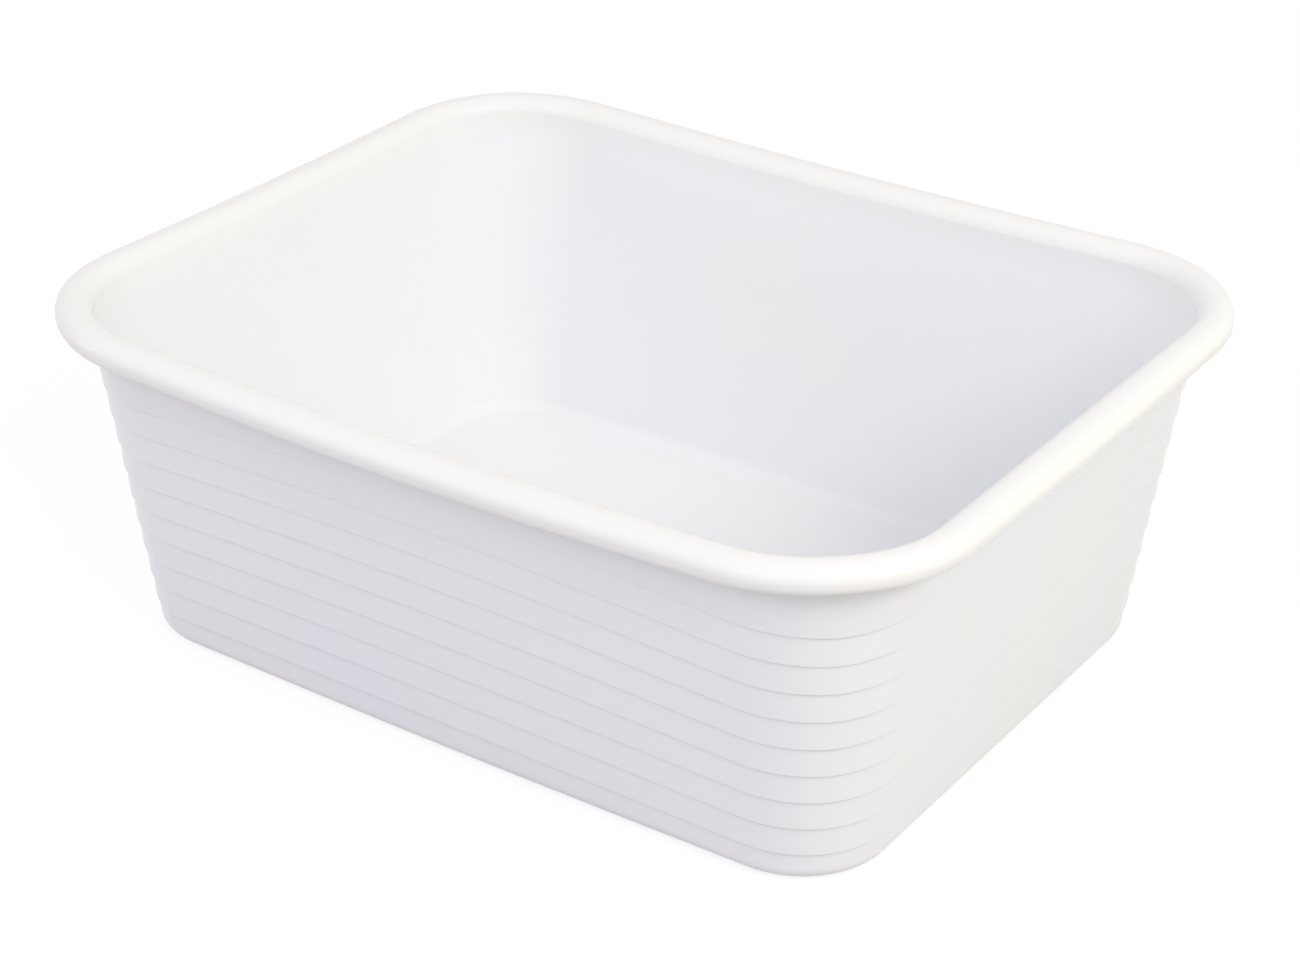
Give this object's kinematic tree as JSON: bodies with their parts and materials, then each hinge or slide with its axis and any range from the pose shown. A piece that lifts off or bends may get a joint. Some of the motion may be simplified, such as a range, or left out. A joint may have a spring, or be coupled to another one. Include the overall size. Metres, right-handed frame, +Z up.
{
  "type": "plastic tub",
  "caption": "Open rectangular plastic tub with rounded corners, sloping lapped walls, a flat floor and a rolled rim to hold it by, for washing up and cleaning.",
  "frame": {"origin": "centre of the flat underside, on the surface that the tub stands on", "axes": "+Z up, +X along the long side, +Y along the short side"},
  "size_m": [0.3812, 0.3144, 0.1413],
  "materials": {
    "rim_plastic": "satin white polypropylene",
    "wall_plastic": "satin white polypropylene",
    "pan_plastic": "satin white polypropylene"
  },
  "bodies": {
    "root": {"rolled_rim": "rim_plastic", "lapped_wall": "wall_plastic", "floor_pan": "pan_plastic"}
  },
  "joints": []
}
